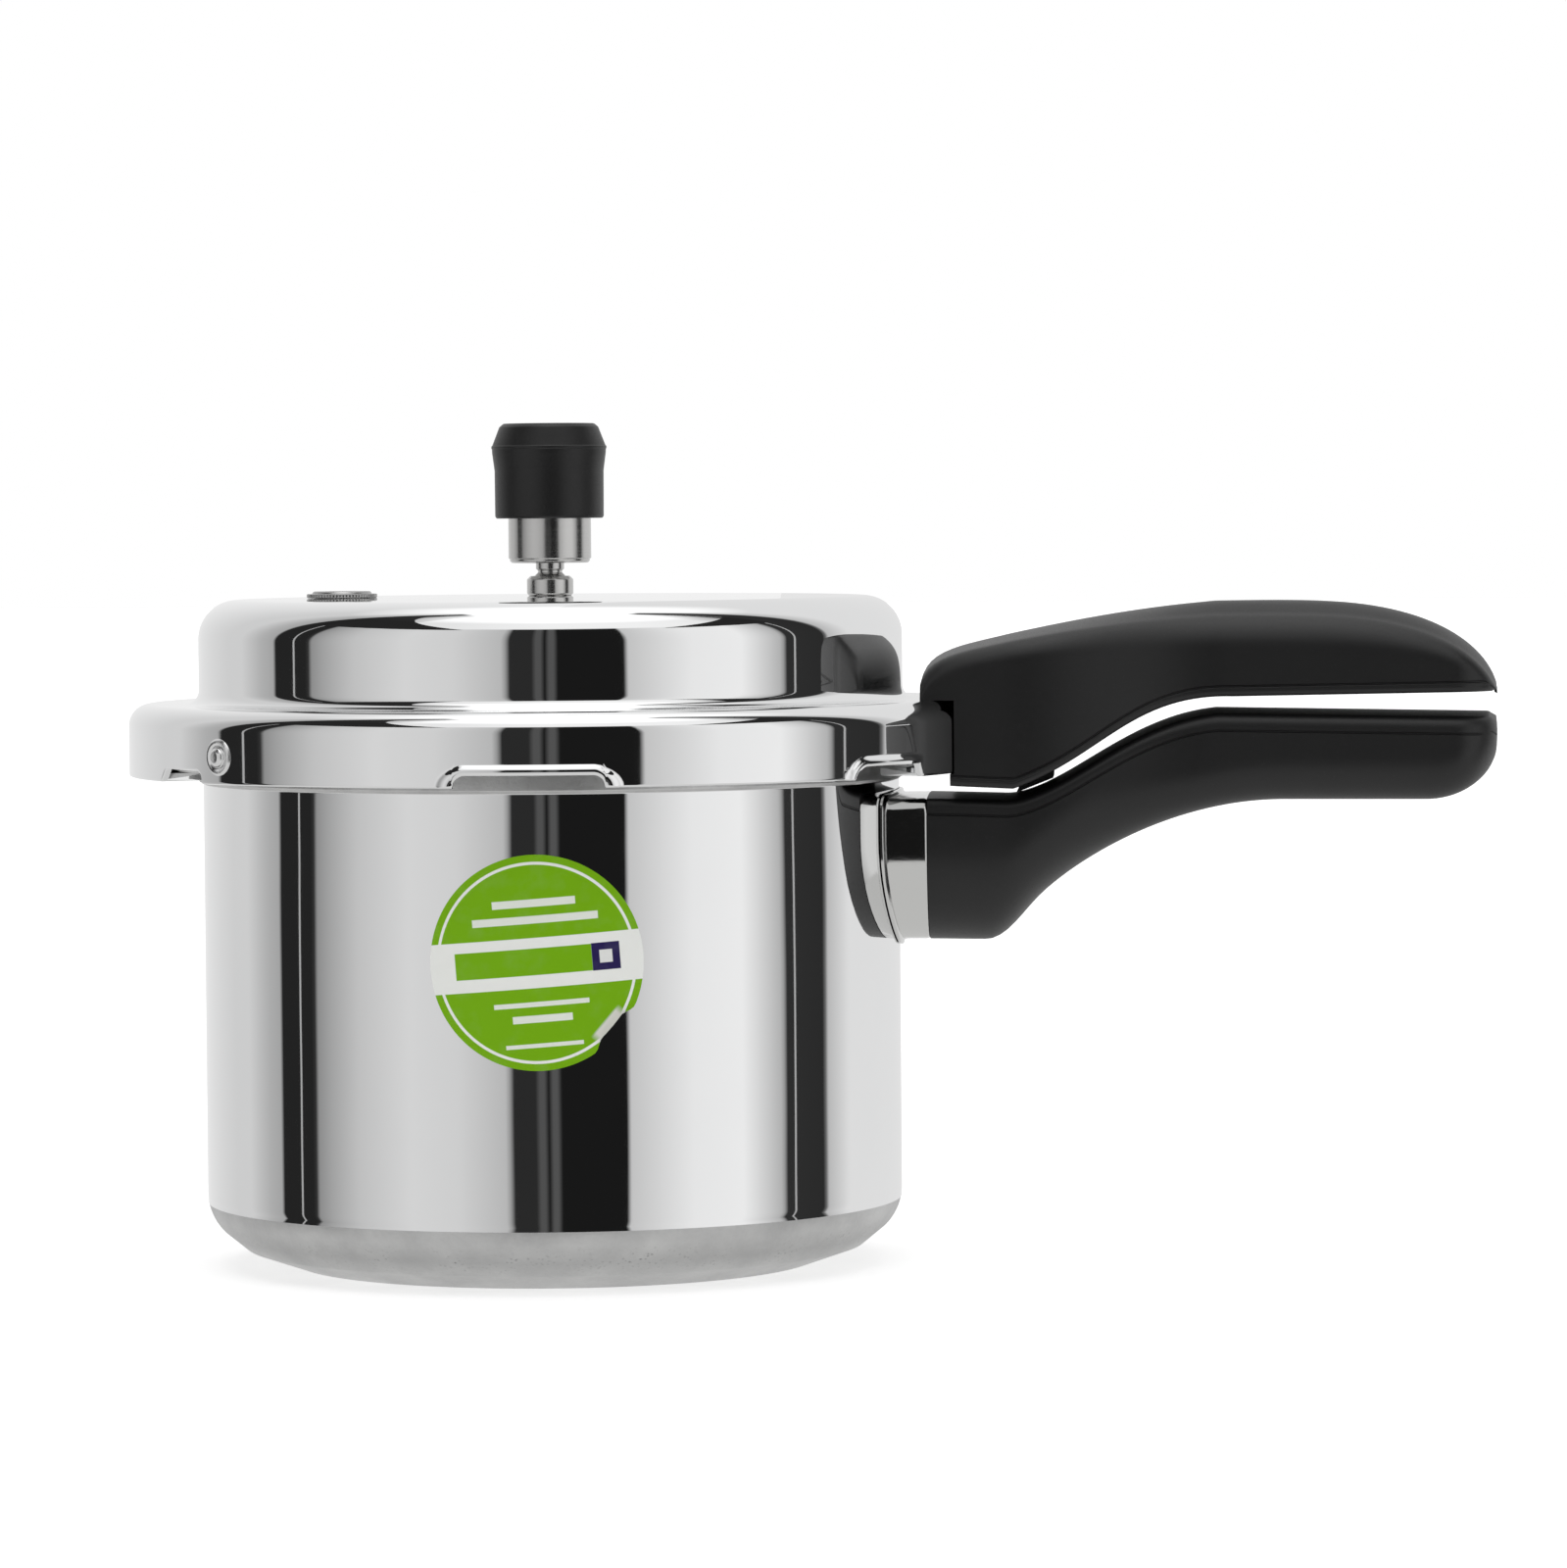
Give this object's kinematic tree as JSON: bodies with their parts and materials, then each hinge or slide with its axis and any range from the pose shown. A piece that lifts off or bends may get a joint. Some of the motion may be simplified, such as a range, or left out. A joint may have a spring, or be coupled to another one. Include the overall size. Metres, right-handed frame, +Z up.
{
  "type": "stovetop pressure cooker",
  "caption": "Aluminium stovetop pressure cooker with an outer twist-lock lid, long black handles, a weight valve on a vent pipe and a fusible safety valve.",
  "frame": {"origin": "centre of the pot's base, on the stove", "axes": "+Z up along the pot's axis, +X along the two long handles"},
  "size_m": [0.3528, 0.219, 0.217],
  "materials": {
    "polished_aluminium": "mirror polished, fine turning lines; matte as-spun base and rim band",
    "satin_aluminium": "satin",
    "bright_steel": "polished stainless steel",
    "zinc_steel": "bright zinc plate",
    "nickel_plate": "turned and nickel plated",
    "fusible_alloy": "dull grey cast alloy",
    "brass": "turned",
    "black_phenolic": "compression moulded, satin gloss with fine grain",
    "black_rubber": "matte moulded rubber",
    "printed_label": "coated printed sticker"
  },
  "bodies": {
    "pot": {"pot_body": "polished_aluminium", "body_bracket": "bright_steel", "bracket_rivets": "satin_aluminium", "flame_guard": "bright_steel", "body_handle": "black_phenolic", "body_handle_screw": "zinc_steel", "body_handle_nut": "brass", "label": "printed_label"},
    "lid": {"lid_shell": "polished_aluminium", "gasket": "black_rubber", "lid_stop_rivet": "satin_aluminium", "lid_handle": "black_phenolic", "lid_handle_screws": "zinc_steel", "lid_handle_inserts": "brass", "handle_stop_pad": "black_rubber", "vent_pipe": "nickel_plate", "vent_nut": "zinc_steel", "vent_washer": "black_rubber", "safety_valve_body": "nickel_plate", "safety_valve_plug": "fusible_alloy", "safety_valve_nut": "zinc_steel", "safety_valve_washer": "black_rubber"},
    "needle": {"weight_needle": "brass", "weight_clip": "zinc_steel"},
    "weight": {"weight_body": "nickel_plate", "weight_cap": "black_phenolic"}
  },
  "joints": [
    {"name": "lid_turn", "type": "hinge", "parent": "pot", "child": "lid", "pos_m": [0, 0, 0.134], "axis": [0, 0, 1], "range_deg": [0, 70]},
    {"name": "weight_lift", "type": "slide", "parent": "lid", "child": "needle", "axis": [0, 0, 1], "range_m": [0, 0.03]},
    {"name": "weight_spin", "type": "hinge", "parent": "needle", "child": "weight", "pos_m": [0, 0, 0.2], "axis": [0, 0, 1], "continuous": true}
  ]
}
